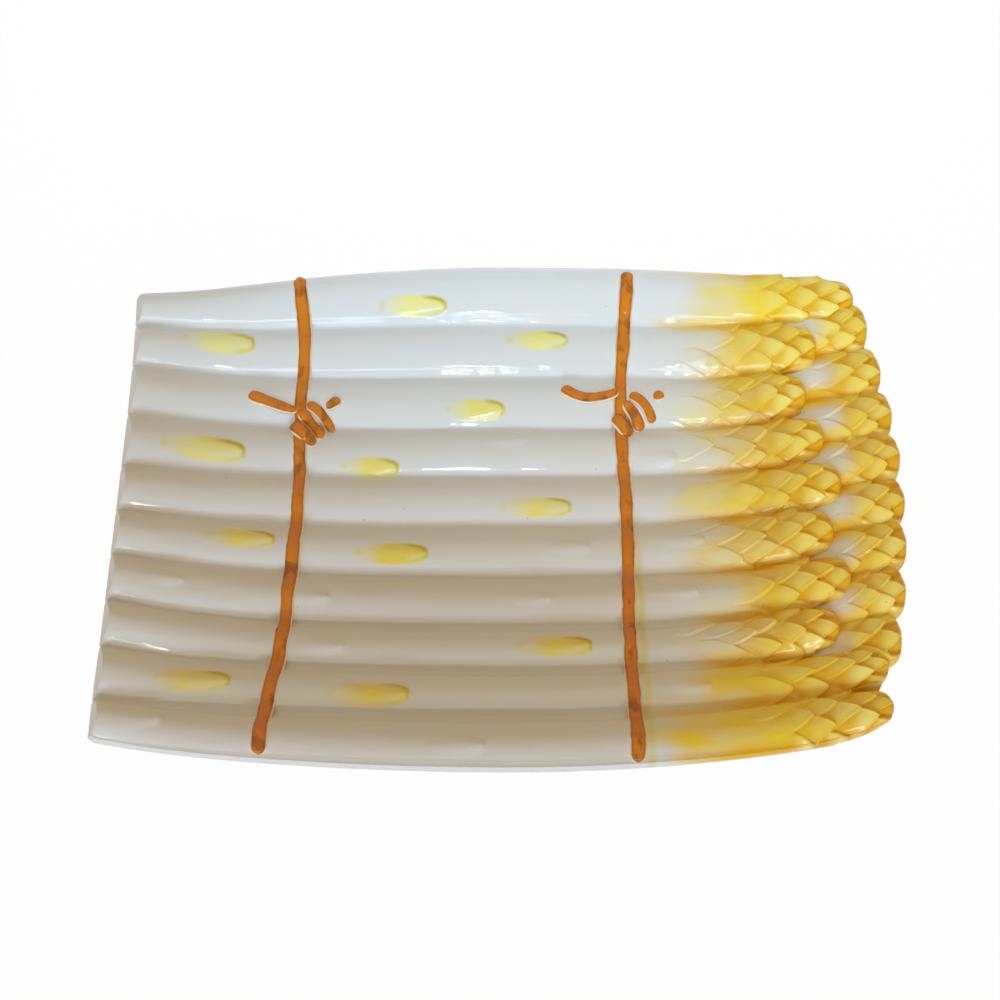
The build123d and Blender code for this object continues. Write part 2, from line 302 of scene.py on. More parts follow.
class Shaping(Nodes):
    """A Geometry Nodes tree, from its first shape to a finished piece."""

    def __init__(self, name, sizes):
        super().__init__(bpy.data.node_groups.new(name, "GeometryNodeTree"))
        self.tree.interface.new_socket("Piece", in_out="OUTPUT", socket_type="NodeSocketGeometry")
        self.sockets = {}
        for label, value in sizes.items():
            kind = "NodeSocketInt" if isinstance(value, int) else "NodeSocketFloat"
            socket = self.tree.interface.new_socket(label, in_out="INPUT", socket_type=kind)
            socket.default_value = value
            self.sockets[label] = socket.identifier
        self.given = self.tree.nodes.new("NodeGroupInput")
        self.flow = None

    def size(self, label):
        return Field(self.tree, self.given.outputs[label])

    def place_parts(self):
        return self.parts(self.node("GeometryNodeInputPosition").outputs[0])

    def vector(self, x, y, z):
        return self.node("ShaderNodeCombineXYZ", {0: x, 1: y, 2: z}).outputs[0]

    def noise(self, x, y, z, scale):
        """Smooth noise around zero, about -0.5 to 0.5."""
        inputs = {"Vector": self.vector(x, y, z), "Scale": scale, "Detail": 2.0}
        return self.field(self.node("ShaderNodeTexNoise", inputs), "Fac") - 0.5

    def step(self, kind, inputs=(), **settings):
        """A node on the way from the first shape to the piece."""
        made = self.node(kind, inputs, **settings)
        if self.flow is not None:
            self.tree.links.new(self.flow, made.inputs[0])
        self.flow = made.outputs[0]
        return made

    def store(self, label, value):
        inputs = {"Name": label, "Value": value}
        self.step("GeometryNodeStoreNamedAttribute", inputs, data_type="FLOAT", domain="POINT")

    def stored(self, label):
        return self.field(self.node("GeometryNodeInputNamedAttribute", {"Name": label}, data_type="FLOAT"))

    def move(self, x, y, z):
        self.step("GeometryNodeSetPosition", {"Position": self.vector(x * MM, y * MM, z * MM)})

    def push(self, height):
        """Out along the surface's own normal."""
        normal = self.node("GeometryNodeInputNormal").outputs[0]
        along = self.node("ShaderNodeVectorMath", {0: normal, "Scale": height * MM}, operation="SCALE")
        self.step("GeometryNodeSetPosition", {"Offset": along.outputs[0]})

    def weld(self):
        self.step("GeometryNodeMergeByDistance", {"Distance": 0.004 * MM})

    def finish(self, material):
        self.step("GeometryNodeSetShadeSmooth")
        self.step("GeometryNodeRealizeInstances")
        self.step("GeometryNodeSetMaterial", {"Material": material})
        end = self.tree.nodes.new("NodeGroupOutput")
        self.tree.links.new(self.flow, end.inputs[0])

    def piece(self, name, sizes, node, slot):
        """A plain mesh from the tree with these sizes, standing for one solid."""
        maker = bpy.data.objects.new(name + "_maker", bpy.data.meshes.new(name + "_maker"))
        bpy.context.scene.collection.objects.link(maker)
        modifier = maker.modifiers.new("shaping", "NODES")
        modifier.node_group = self.tree
        for label, value in sizes.items():
            modifier[self.sockets[label]] = value
        mesh = bpy.data.meshes.new_from_object(maker.evaluated_get(bpy.context.evaluated_depsgraph_get()))
        bpy.data.objects.remove(maker)
        return settle(name, mesh, node)


def settle(name, mesh, node):
    """A finished mesh takes the place of its solid."""
    piece = bpy.data.objects.new(name, mesh)
    mesh.name = name
    bpy.context.scene.collection.objects.link(piece)
    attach(piece, "root")
    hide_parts(node)
    return piece


class Paint(Nodes):
    """A material's node tree, with the same arithmetic for its masks."""

    def __init__(self, name):
        self.material = bpy.data.materials.new(name)
        self.material.use_nodes = True
        super().__init__(self.material.node_tree)
        self.shader = self.tree.nodes["Principled BSDF"]
        self.place = self.node("ShaderNodeTexCoord").outputs["Object"]

    def stored(self, label):
        return self.field(self.node("ShaderNodeAttribute", attribute_name=label), "Fac")

    def noise(self, scale, stretch=(1, 1, 1), detail=3.0):
        """Smooth noise, 0 to 1, with its grain stretched along an axis."""
        mapped = self.node("ShaderNodeMapping", {"Vector": self.place, "Scale": stretch})
        inputs = {"Vector": mapped.outputs[0], "Scale": scale, "Detail": detail}
        return self.field(self.node("ShaderNodeTexNoise", inputs), "Fac")

    def spots(self, scale):
        """Distance to the nearest of many scattered points, in shares of their spacing."""
        cells = self.node("ShaderNodeTexVoronoi", {"Vector": self.place, "Scale": scale})
        return self.field(cells, "Distance")

    def mix(self, first, second, share):
        """A colour between two colours."""
        inputs = {"Factor": share, "A": full_colour(first), "B": full_colour(second)}
        return self.node("ShaderNodeMix", inputs, data_type="RGBA").outputs["Result"]

    def bump(self, height, distance, strength):
        made = self.node("ShaderNodeBump", {"Height": height, "Distance": distance, "Strength": strength})
        self.tree.links.new(made.outputs[0], self.shader.inputs["Normal"])

    def set(self, **values):
        for name, value in values.items():
            connect(self.tree, value, self.shader.inputs[name.replace("_", " ")])


def full_colour(colour):
    """A colour for a socket: another node's output, or three numbers and full cover."""
    return colour if isinstance(colour, bpy.types.NodeSocket) else (*colour, 1)


# Glaze and clay colours
TIN_WHITE = (0.77, 0.775, 0.77)
WASH_YELLOW = (0.92, 0.69, 0.035)
TIP_YELLOW = (0.98, 0.75, 0.015)
SCALE_CREAM = (0.99, 0.92, 0.30)
LEMON_DAB = (0.94, 0.84, 0.14)
POOLED_OCHRE = (0.80, 0.42, 0.001)
BRACT_LEMON = (0.92, 0.86, 0.27)
# streaky mustard on the bracts, and painted shade on the near ones
BRACT_MUSTARD_AND_SHADE = (0.86, 0.69, 0.08)
BRACT_LIME = (0.76, 0.74, 0.05)
BRACT_OLIVE = (0.56, 0.42, 0.01)
CORD_RUN_OLIVE = (0.74, 0.64, 0.06)
CORD_ORANGE = (0.67, 0.185, 0.002)
CORD_AMBER = (0.74, 0.25, 0.003)
CORD_BROWN = (0.20, 0.045, 0.004)
WORN_EDGE = (0.93, 0.80, 0.62)
PINHOLE_BROWN = (0.16, 0.11, 0.07)
CLAY_DARK = (0.70, 0.62, 0.50)
CLAY_PALE = (0.80, 0.74, 0.63)
GLAZE_SHINE = 0.25

# Bands where one glaze gives way to another, along the plate or across it, in metres
NEAR_SIDE_BAND = (-0.088, -0.052)
WASH_BAND = (0.069, 0.113)
TIP_BAND = (0.098, 0.130)
DABS_BEGIN = (0.066, 0.084)
DABS_END = (0.104, 0.118)
UNDERSIDE_WASH = (0.078, 0.110)
CORD_RUN_X = 0.0565         # yellow that ran down beside the cord near the tips
CORD_RUN_WIDTH = 0.0036
CORD_RUN_SIDE = (-0.05, 0.02)

# Pinholes in the glaze, with their edge in shares of their spacing
PINHOLES_PER_METRE = 75.0
PINHOLE_EDGE = (0.014, 0.026)


def stalk_glaze():
    """Glossy white glaze, yellow over the tips, ochre where it pools, brushed yellow on some bracts."""
    glaze = Paint("stalk_glaze")
    x, y, _ = glaze.parts(glaze.place)
    streaks = glaze.noise(90.0, (0.35, 1.0, 1.0), 4.0)
    patches = glaze.noise(38.0, (0.6, 1.0, 1.0), 2.0)
    strokes = glaze.noise(150.0, (0.18, 1.0, 1.0), 3.0)
    near = 1 - y.smooth(*NEAR_SIDE_BAND)

    # The wash from the stalk to the tip
    wash = (x + near * 0.018 + (streaks - 0.5) * 0.045 + (patches - 0.5) * 0.060).smooth(*WASH_BAND)
    tip = (x + (patches - 0.5) * 0.04).smooth(*TIP_BAND)
    washed = (wash * (patches * 0.45 + strokes * 1.05 + near * 0.25)).clamp()
    colour = glaze.mix(TIN_WHITE, WASH_YELLOW, washed)
    dabs = glaze.noise(75.0, (0.55, 1.0, 1.0), 2.0).smooth(0.54, 0.66)
    dabs = dabs * x.smooth(*DABS_BEGIN) * (1 - x.smooth(*DABS_END))
    colour = glaze.mix(colour, LEMON_DAB, dabs * (streaks * 0.7) * (1 - near * 0.8))
    colour = glaze.mix(colour, TIP_YELLOW, tip * 0.95)
    colour = glaze.mix(colour, POOLED_OCHRE, (glaze.stored("pool") * (wash * 0.75 + tip * 0.25)).clamp())
    colour = glaze.mix(colour, SCALE_CREAM, (glaze.stored("face") * tip * 0.82).clamp())
    colour = glaze.mix(colour, TIN_WHITE, glaze.stored("bare") * 0.92)
    run = (1 - abs(x - CORD_RUN_X).smooth(0.0, CORD_RUN_WIDTH)) * (1 - y.smooth(*CORD_RUN_SIDE))
    colour = glaze.mix(colour, CORD_RUN_OLIVE, run * (patches * 0.7 + 0.2))

    # Strokes on the bracts, their mustard streaks spreading towards the near side as painted shade
    mustard_and_shade = (streaks * 1.5 - y * 5 - 0.28).clamp()
    # bract cover is paler on the near side towards the apex, as painted light where the bract is lit
    cover = glaze.stored("paint") * (streaks * 1.2 + 0.35) * (1 - glaze.stored("paint_thin") * 0.40)
    colour = glaze.mix(colour, glaze.mix(BRACT_LEMON, BRACT_MUSTARD_AND_SHADE, mustard_and_shade), cover.clamp())
    colour = glaze.mix(colour, BRACT_LIME, (glaze.stored("paint_lime") * (streaks + 0.3)).clamp())
    colour = glaze.mix(colour, BRACT_OLIVE, (glaze.stored("paint_rim") * (patches * 1.5)).clamp())

    pinholes = 1 - glaze.spots(PINHOLES_PER_METRE).smooth(*PINHOLE_EDGE)
    colour = glaze.mix(colour, PINHOLE_BROWN, pinholes * 0.75)
    glaze.set(Base_Color=colour, Roughness=0.07, Specular_IOR_Level=GLAZE_SHINE)
    glaze.bump(glaze.noise(260.0, (0.5, 1.0, 1.0), 1.0), 0.0006, 0.12)
    return glaze.material


def cord_glaze():
    """Orange-brown glaze with darker smudges, worn pale along its edges."""
    glaze = Paint("cord_glaze")
    smudges = glaze.noise(170.0, (1, 0.6, 1)).smooth(0.52, 0.68)
    flank = glaze.stored("flank")
    colour = glaze.mix(CORD_ORANGE, CORD_AMBER, glaze.noise(120.0))
    colour = glaze.mix(colour, CORD_BROWN, (smudges * 0.55 + flank.smooth(0.45, 0.72) * 0.30).clamp())
    colour = glaze.mix(colour, WORN_EDGE, flank.smooth(0.80, 0.92))
    glaze.set(Base_Color=colour, Roughness=0.12, Specular_IOR_Level=GLAZE_SHINE)
    glaze.bump(glaze.noise(300.0), 0.0006, 0.25)
    return glaze.material


def dish_glaze():
    """The white glaze of the underside, yellow at the tips."""
    glaze = Paint("dish_glaze")
    x, _, _ = glaze.parts(glaze.place)
    drift = glaze.noise(60.0)
    wash = (x + (drift - 0.5) * 0.03).smooth(*UNDERSIDE_WASH)
    colour = glaze.mix(TIN_WHITE, POOLED_OCHRE, wash * 0.9)
    glaze.set(Base_Color=colour, Roughness=0.08, Specular_IOR_Level=GLAZE_SHINE)
    glaze.bump(drift, 0.0008, 0.1)
    return glaze.material


def bare_clay():
    """The unglazed foot."""
    clay = Paint("bare_clay")
    grain = clay.noise(900.0, detail=5.0)
    clay.set(Base_Color=clay.mix(CLAY_DARK, CLAY_PALE, grain), Roughness=0.85)
    clay.bump(grain, 0.0003, 0.3)
    return clay.material


STALK_GLAZE = stalk_glaze()
CORD_GLAZE = cord_glaze()
DISH_GLAZE = dish_glaze()
BARE_CLAY = bare_clay()

# Sizes of one stalk, which each spear and lower tip changes for itself
STALK_SIZES = {
    "Rows Along": 560, "Rows Around": 104,
    "Far Middle": 0.0, "Far Butt": 0.0, "Far Tip": 0.0,
    "Near Middle": 0.0, "Near Butt": 0.0, "Near Tip": 0.0,
    "Start": BUTT_X, "End": 140.0, "Taper": 24.0, "Fine Length": 80.0,
    "Relief": RELIEF, "Tip Relief": TIP_RELIEF, "Far Reach": 1.14, "Near Reach": 1.14,
    "Bluntness": 2.6, "End Lift": 0.0, "Sunk Start": 0.0,
    "Scale Rise": 3.2, "Scale Spread": 56.0, "Scale Limit": 0.55, "Bare Patch": 0.0, "Seed": 1,
}
BRACT_SIZES = {"X": FAR_AWAY, "Y": 0.0, "Length": 30.0, "Width": 10.0, "Paint": 0.0}
for number in range(1, BRACTS_PER_SPEAR + 1):
    for label, value in BRACT_SIZES.items():
        STALK_SIZES[f"Bract {number} {label}"] = value

# Shares of a stalk's mesh rows: cut face, its edge and body along it, near wall and top round it
FACE_ROWS = 0.04
EDGE_ROWS = 0.03
BODY_ROWS = 0.40
NEAR_WALL_ROWS = 0.04
TOP_ROWS = 0.82
TIP_CROWDING = 1.5          # rows are closer together towards the end of the tip


def leaf_inset(back, side):
    """How far inside a tip scale's edge. Back is 0 at its apex and 1 at its root, side 0 on its middle."""
    return (back / 0.62).clamp() ** 0.62 - abs(side)


def teardrop(back, side, soft):
    """1 inside a bract, round at the apex and a little drawn in at the root."""
    along = back.clamp()
    outline = along ** 0.28 * (1 - along) ** 0.36 * 1.57
    return (outline - abs(side)).smooth(0.0, soft) * back.smooth(-0.01, 0.04)


def stalk_shaping():
    """One stalk lying on the dish: cut end, rounded body, bracts, and a tip of overlapping scales."""
    work = Shaping("asparagus_stalk", STALK_SIZES)
    size = work.size
    work.step("GeometryNodeMeshGrid", {
        "Size X": 1.0, "Size Y": 1.0,
        "Vertices X": work.given.outputs["Rows Along"], "Vertices Y": work.given.outputs["Rows Around"],
    })
    along, around, _ = work.place_parts()
    along, around = along + 0.5, around + 0.5

    # Rows along the stalk: cut face, its rounded edge, the body, and a finer tip
    to_body = FACE_ROWS + EDGE_ROWS
    to_tip = to_body + BODY_ROWS
    face = (along / FACE_ROWS).clamp()
    edge = ((along - FACE_ROWS) / EDGE_ROWS).clamp()
    body = ((along - to_body) / BODY_ROWS).clamp()
    tip = 1 - (1 - ((along - to_tip) / (1 - to_tip)).clamp()) ** TIP_CROWDING
    start, end, taper = size("Start"), size("End"), size("Taper")
    fine = end - size("Fine Length")
    turn = edge * (math.pi / 2)
    x = start + (1 - turn.math("COSINE")) * CUT_EDGE
    x = x + body * (fine - start - CUT_EDGE) + tip * size("Fine Length")
    girth = face * CUT_FACE + turn.math("SINE") * (1 - CUT_FACE)

    # Plan of the stalk, drawn in at the rounded tip
    far = bowed(size("Far Middle"), size("Far Butt"), size("Far Tip"), x)
    near = bowed(size("Near Middle"), size("Near Butt"), size("Near Tip"), x)
    closing = ((x - end + taper) / taper).clamp()
    blunt = size("Bluntness")
    share = (1 - closing ** blunt).most(0.0) ** (blunt ** -1)
    middle, half = (far + near) * 0.5, (far - near) * 0.5

    # Round the section: up the near wall, over the top to the far side, then back underneath
    to_under = NEAR_WALL_ROWS + TOP_ROWS
    near_wall = 1 - (around / NEAR_WALL_ROWS).clamp()
    top = ((around - NEAR_WALL_ROWS) / TOP_ROWS).clamp()
    under = ((around - to_under) / (1 - to_under)).clamp()
    reach = size("Near Reach").toward(size("Far Reach"), top)
    side = (top * 2 - 1) * reach - under * (size("Near Reach") + size("Far Reach"))
    swell = (1 + (x - end + taper) / SWELL_LENGTH).clamp() ** 2
    sunk = size("Sunk Start") * (1 - x.smooth(start, start + SUNK_LENGTH))
    relief = (size("Relief") + (size("Tip Relief") - size("Relief")) * swell) * share * (1 - sunk)
    rise = relief.most(0.02)
    width = (half * share).most(0.003)
    radius = (width * width + rise * rise) / (rise * 2)

    def arch(position):
        return (radius * radius - (position * width) ** 2).most(0.0).root() - radius + rise

    # Height over the dish, with this stalk's arch and its neighbour's joined by glaze
    off = abs(side)
    own, other = arch(off), arch(2 - off)
    fillet = share * GROOVE_FILLET
    dome = (own + other + ((own - other) ** 2 + fillet * fillet).root()) * 0.5
    lifted = size("End Lift") * x.smooth(end - LIFT_BEGINS, end - LIFT_IS_FULL)
    dome = dome - (off - 1).most(0.0) ** 2 * GROOVE_SKIRT + lifted * (1 - off.smooth(1.0, 1.12))
    underside = share * -1.0
    over = dome.toward(underside, under.smooth(0.0, 0.06).most(near_wall)) * share.smooth(0.0, 0.02)
    over = over * girth + (1 - girth) * rise * CUT_MIDDLE

    # Laid on the dish, square to its slope
    far_seat, near_seat = seat_height(x, far), seat_height(x, near)
    slope = (far_seat - near_seat) / (far - near)
    lean = (slope * slope + 1).root()
    place_y = middle + side * width * girth - over * slope / lean
    place_z = (far_seat + near_seat) * 0.5 + side * width * girth * slope + over / lean
    aside = place_y / GROOVES_BUTT[0]
    flare = ((aside - FLARE_START) / (1 - FLARE_START)).clamp() ** 2 * FAR_BUTT_FLARE
    corner = ((-aside - NEAR_CORNER_START) / (1 - NEAR_CORNER_START)).clamp() ** 4 * NEAR_BUTT_CORNER
    slant = over * BUTT_DRAFT + corner - flare
    place_x = x + slant * (1 - x.smooth(BUTT_X, BUTT_X + BUTT_LENGTH))

    work.store("from_end", end - x)
    work.store("side", side)
    work.store("width_half", half)
    shown = (1 - under.smooth(0.0, 0.02)) * (1 - near_wall)
    work.store("top", shown * (1 - sunk) * girth.smooth(CUT_FACE, 1.0))
    work.store("plan_x", x)
    work.store("plan_y", middle + side * half * share)
    work.move(place_x, place_y, place_z)
    work.weld()
    scales(work)
    bracts(work)
    glaze_masks(work)
    work.push(surface_lift(work) * work.stored("top"))
    work.finish(STALK_GLAZE)
    return work


def surface_lift(work):
    """Height of the scales, the bracts and the uneven surface over the plain stalk."""
    from_end = work.stored("from_end")
    tip_zone = 1 - from_end.smooth(18.0, 58.0)
    rounded_end = from_end.smooth(0.0, 5.5)
    scaly = (work.stored("scales") - tip_zone * SCALE_SINK) * work.size("Scale Rise") * rounded_end
    x, y, seed = work.stored("plan_x"), work.stored("plan_y"), work.size("Seed")
    fine = work.noise(x * 0.4, y, seed * 7.0, 0.11) * FINE_WAVER
    broad = work.noise(x * 0.12, y * 0.4, seed * 3.0, 0.12) * BROAD_WAVER
    return scaly + work.stored("bracts") + (fine + broad) * work.stored("width_half").smooth(0.0, 4.0)


def scales(work):
    """Overlapping leaf scales, row behind row from the tip, every other row shifted by half a scale."""
    begin = work.node("GeometryNodeRepeatInput")
    finish = work.node("GeometryNodeRepeatOutput")
    begin.pair_with_output(finish)
    begin.inputs["Iterations"].default_value = SCALE_ROWS * SCALES_PER_ROW
    for label in ("scales", "seam", "face"):
        work.store(label, 0.0)
    work.tree.links.new(work.flow, begin.inputs["Geometry"])
    work.flow = begin.outputs["Geometry"]
    count = work.field(begin, "Iteration")
    row = (count / SCALES_PER_ROW).math("FLOOR")
    column = count - row * SCALES_PER_ROW - 1
    odd = row - (row / 2).math("FLOOR") * 2

    def chance(low, high, key):
        """A number drawn for this scale, a different one for each key."""
        inputs = {"Min": low, "Max": high, "ID": count + key, "Seed": work.size("Seed")}
        return work.field(work.node("FunctionNodeRandomValue", inputs, data_type="FLOAT"), "Value")

    # Place and size of this scale
    depth = (row / SCALE_ROWS) ** 1.08
    shift = chance(-1.0, 1.0, 100) * depth.least(0.4) * SCALE_SHIFT
    apex = depth * work.size("Scale Spread") + FIRST_APEX + shift
    place = (column + odd * 0.5) * SCALE_PITCH - 0.06 + chance(-0.16, 0.16, 200)
    length = SCALE_LENGTH + depth * SCALE_GROWTH + chance(-2.5, 2.5, 300)
    breadth = SCALE_BREADTH + chance(-0.09, 0.09, 400)
    back = (work.stored("from_end") - apex) / length
    side = (work.stored("side") - place) / breadth

    # Its form, highest along the lip, and fewer scales farther back
    inset = leaf_inset(back, side)
    outline = inset.smooth(0.0, 0.20) * back.smooth(-0.01, 0.03)
    lip = (1 - inset.smooth(0.06, 0.40)) * 0.22
    kept = (chance(0.0, 1.0, 500) - (depth - work.size("Scale Limit")) * 2).smooth(0.0, 0.2)
    form = outline * (1 - back).clamp() * (lip + 0.92)
    strength = (1 - depth * 0.70) * kept
    work.store("scales", work.stored("scales").most(form * strength))

    # Glaze that pools at its foot, and its paler face
    uncovered = 1 - outline * kept
    foot = inset.smooth(-0.52, -0.04) * (1 - inset.smooth(0.0, 0.10))
    foot = foot * back.smooth(-0.16, 0.0) * (1 - back.smooth(0.5, 0.8))
    work.store("seam", (work.stored("seam") * uncovered).most(foot * strength))
    pale = inset.smooth(0.06, 0.40) * (1 - back.smooth(0.30, 0.75)) * kept * chance(0.35, 1.0, 600)
    work.store("face", (work.stored("face") * uncovered).most(pale))
    work.tree.links.new(work.flow, finish.inputs["Geometry"])
    work.flow = finish.outputs["Geometry"]


def bracts(work):
    """Single leaf scales on the body, raised towards the apex, some with a stroke of yellow."""
    height = paint = paler_where_lit = rim = lime = 0.0
    for number in range(1, BRACTS_PER_SPEAR + 1):
        own = [work.size(f"Bract {number} {label}") for label in BRACT_SIZES]
        apex_x, apex_y, length, width, wanted = own
        back = (apex_x - work.stored("plan_x")) / length
        side = (work.stored("plan_y") - apex_y) / (width * 0.5)
        height = teardrop(back, side, 0.9) * (1 - back).clamp() ** 1.2 * BRACT_HEIGHT + height
        brushed = teardrop(back, side, 0.3)
        paint = brushed * (1 - back.smooth(0.50, 1.0) * 0.90) * wanted + paint
        # paler on the near side towards the apex, as painted light where the bract is lit
        paler_where_lit = brushed * (1 - side.smooth(-0.45, 0.25)) * (1 - back.smooth(0.15, 0.45)) + paler_where_lit
        far_edge = brushed * (1 - teardrop(back - 0.02, side + 0.28, 0.3)) * (1 - back.smooth(0.18, 0.42))
        near_edge = brushed * (1 - teardrop(back - 0.02, side - 0.22, 0.3)) * (1 - back.smooth(0.14, 0.36))
        rim = far_edge * wanted + rim
        root = (((back - 0.93) * length) ** 2 + (side * 5) ** 2).root()
        lime = (near_edge + (1 - root.smooth(0.4, 2.6)) * 0.6) * wanted + lime
    work.store("bracts", height)
    work.store("paint", paint)
    work.store("paint_thin", paler_where_lit)
    work.store("paint_rim", rim)
    work.store("paint_lime", lime)


def glaze_masks(work):
    """Where the coloured glaze runs together: grooves between stalks and between scales."""
    groove = abs(work.stored("side")).smooth(0.62, 1.0)
    low = 1 - work.stored("scales").smooth(0.28, 0.80)
    near_tip = 1 - work.stored("from_end").smooth(16.0, 52.0)
    work.store("pool", groove.most(low * near_tip * 0.75).most(work.stored("seam") * 1.1).clamp())
    body = work.stored("from_end").smooth(17.0, 28.0) * (1 - abs(work.stored("side")).smooth(0.25, 0.80))
    work.store("bare", body * work.size("Bare Patch"))


def spear_sizes(index):
    """One spear's sizes for the stalk tree."""
    outer = index in (0, SPEAR_COUNT - 2, SPEAR_COUNT - 1)
    sizes = {
        "Far Middle": GROOVES_MIDDLE[index], "Near Middle": GROOVES_MIDDLE[index + 1],
        "Far Butt": GROOVES_BUTT[index], "Near Butt": GROOVES_BUTT[index + 1],
        "Far Tip": GROOVES_TIP[index], "Near Tip": GROOVES_TIP[index + 1],
        "End": TIP_ENDS[index], "Taper": TIP_TAPERS[index], "Seed": index + 1,
        "End Lift": OUTER_END_LIFT if outer else END_LIFT,
    }
    if index == 0:
        sizes["Far Reach"] = 1.0
    if index == SPEAR_COUNT - 1:
        sizes["Near Reach"] = 1.0
    own = []
    for bract in BRACTS:
        x, y = bract[:2]
        if groove_y(index, x) > y > groove_y(index + 1, x):
            own.append(bract)
    for number, bract in enumerate(own[:BRACTS_PER_SPEAR], start=1):
        for label, value in zip(BRACT_SIZES, bract):
            sizes[f"Bract {number} {label}"] = value
    return sizes


def rear_tip_sizes(line):
    """A tip of the lower row, in the groove between two spears."""
    middle, tip = GROOVES_MIDDLE[line], GROOVES_TIP[line] * REAR_CLOSING
    return {
        "Rows Along": 260, "Rows Around": 90,
        "Far Middle": middle + REAR_HALF_WIDTH, "Far Tip": tip + REAR_HALF_WIDTH,
        "Near Middle": middle - REAR_HALF_WIDTH, "Near Tip": tip - REAR_HALF_WIDTH,
        "Start": REAR_START, "End": tip_end(tip), "Taper": 15.0, "Fine Length": 42.0, "Bluntness": 2.8,
        "Relief": REAR_RELIEF, "Tip Relief": REAR_RELIEF, "Sunk Start": 1.0,
        "Scale Spread": 44.0, "Scale Limit": 0.30, "Bare Patch": 1.0, "Seed": 40 + line,
    }


stalk = stalk_shaping()
spears = []
for index in range(SPEAR_COUNT):
    name = f"spear_{index + 1:02d}"
    spears.append(stalk.piece("glazed_" + name, spear_sizes(index), name, "white_glaze"))
for line in range(1, SPEAR_COUNT - 1):
    name = f"rear_tip_{line:02d}"
    spears.append(stalk.piece("glazed_" + name, rear_tip_sizes(line), name, "tip_glaze"))


def dish_point(along, across):
    """A point of the dish's upper face, which stops a little inside the cut ends."""
    corner = max(0, (abs(across) - CORNER_START) / (1 - CORNER_START))
    far, near = GROOVES_TIP[0], GROOVES_TIP[-1]
    tip_y = (far + near) / 2 + (far - near) / 2 * across
    right = tip_end(tip_y) - TIP_OVERHANG - TIP_CORNER * corner ** TIP_CORNER_POWER
    left = -HALF_LENGTH + BUTT_TUCK + BUTT_CORNER * corner ** BUTT_CORNER_POWER
    x = left + (right - left) * along
    far, near = groove_y(0, x) + RIM_LEDGE, groove_y(SPEAR_COUNT, x) - RIM_LEDGE
    y = (far + near) / 2 + (far - near) / 2 * across
    return Vector((x, y, seat_height(x, y)))


def dish():
    """The dish's shell: upper face, rounded rim and underside."""
    rows, columns = 72, 56
    lip_steps = 6
    shell = bmesh.new()
    faces = []
    for drop in (0.0, WALL):
        net = []
        for i in range(rows + 1):
            points = [dish_point(i / rows, -1 + 2 * j / columns) for j in range(columns + 1)]
            net.append([shell.verts.new((p - Vector((0, 0, drop))) * MM) for p in points])
        faces.append(net)
    for level, net in enumerate(faces):
        for i in range(rows):
            for j in range(columns):
                corners = [net[i][j], net[i + 1][j], net[i + 1][j + 1], net[i][j + 1]]
                shell.faces.new(corners if level == 0 else corners[::-1])

    def edge_loop(net):
        loop = [net[i][0] for i in range(rows)]
        loop += [net[rows][j] for j in range(columns)]
        loop += [net[i][columns] for i in range(rows, 0, -1)]
        return loop + [net[0][j] for j in range(columns, 0, -1)]

    upper, lower = edge_loop(faces[0]), edge_loop(faces[1])
    rings = [upper]
    for step in range(1, lip_steps):
        turn = math.pi * step / lip_steps
        ring = []
        for high, low in zip(upper, lower):
            outward = Vector((high.co.x, high.co.y, 0)).normalized()
            place = high.co.lerp(low.co, (1 - math.cos(turn)) / 2)
            ring.append(shell.verts.new(place + outward * math.sin(turn) * RIM_ROUNDING * MM))
        rings.append(ring)
    rings.append(lower)
    for above, below in zip(rings, rings[1:]):
        for k in range(len(above)):
            following = (k + 1) % len(above)
            shell.faces.new((above[following], above[k], below[k], below[following]))
    return shell


def finish_mesh(shell, name, material):
    """A smooth mesh with its faces turned outward."""
    mesh = bpy.data.meshes.new(name)
    bmesh.ops.recalc_face_normals(shell, faces=shell.faces)
    for face in shell.faces:
        face.smooth = True
    shell.to_mesh(mesh)
    shell.free()
    mesh.materials.append(material)
    return mesh


settle("glazed_dish_base", finish_mesh(dish(), "glazed_dish_base", DISH_GLAZE), "dish_base")


def foot_outline(inset, count=48):
    """Points round the foot ring, a rectangle with wide rounded corners."""
    radius = FOOT_CORNER - inset
    points = []
    for corner, (sx, sy) in enumerate(((1, 1), (-1, 1), (-1, -1), (1, -1))):
        cx, cy = sx * (FOOT_LENGTH / 2 - FOOT_CORNER), sy * (FOOT_WIDTH / 2 - FOOT_CORNER)
        for k in range(count + 1):
            turn = math.pi / 2 * (corner + k / count)
            points.append((cx + radius * math.cos(turn), cy + radius * math.sin(turn)))
    return points


def foot():
    """The foot ring: straight sides, a softly rounded foot, and its top inside the dish's wall."""
    outer = [(0.0, None), *FOOT_EDGE]
    inner = [(FOOT_THICKNESS - inset, height) for inset, height in reversed(outer)]
    shell = bmesh.new()
    rings = []
    for inset, height in [*outer, (FOOT_THICKNESS / 2, 0.0), *inner]:
        ring = []
        for x, y in foot_outline(inset):
            z = seat_height(x, y) - WALL + FOOT_SEAT if height is None else height
            ring.append(shell.verts.new((x * MM, y * MM, z * MM)))
        rings.append(ring)
    for first, second in zip(rings, rings[1:] + rings[:1]):
        for k in range(len(first)):
            following = (k + 1) % len(first)
            shell.faces.new((first[k], first[following], second[following], second[k]))
    bmesh.ops.remove_doubles(shell, verts=shell.verts, dist=0.001 * MM)
    return shell


settle("clay_foot_ring", finish_mesh(foot(), "clay_foot_ring", BARE_CLAY), "foot_ring")

# Rolls of clay laid over the bundle: cords, wraps and tails
bundle = bpy.data.collections.new("bundle")
bpy.context.scene.collection.children.link(bundle)
for spear in spears:
    bundle.objects.link(spear)
ROLL_SIZES = {"Flatness": 0.66, "Lift": 0.1, "Bridge": 130, "Arch": 0.0, "Wobble": 0.5, "Seed": 1}
ROLL_STEP = 0.5             # millimetres between the sections of a roll
ROLL_SIDES = 32
ROLL_SWELL = 0.55
ABOVE_BUNDLE = 90.0


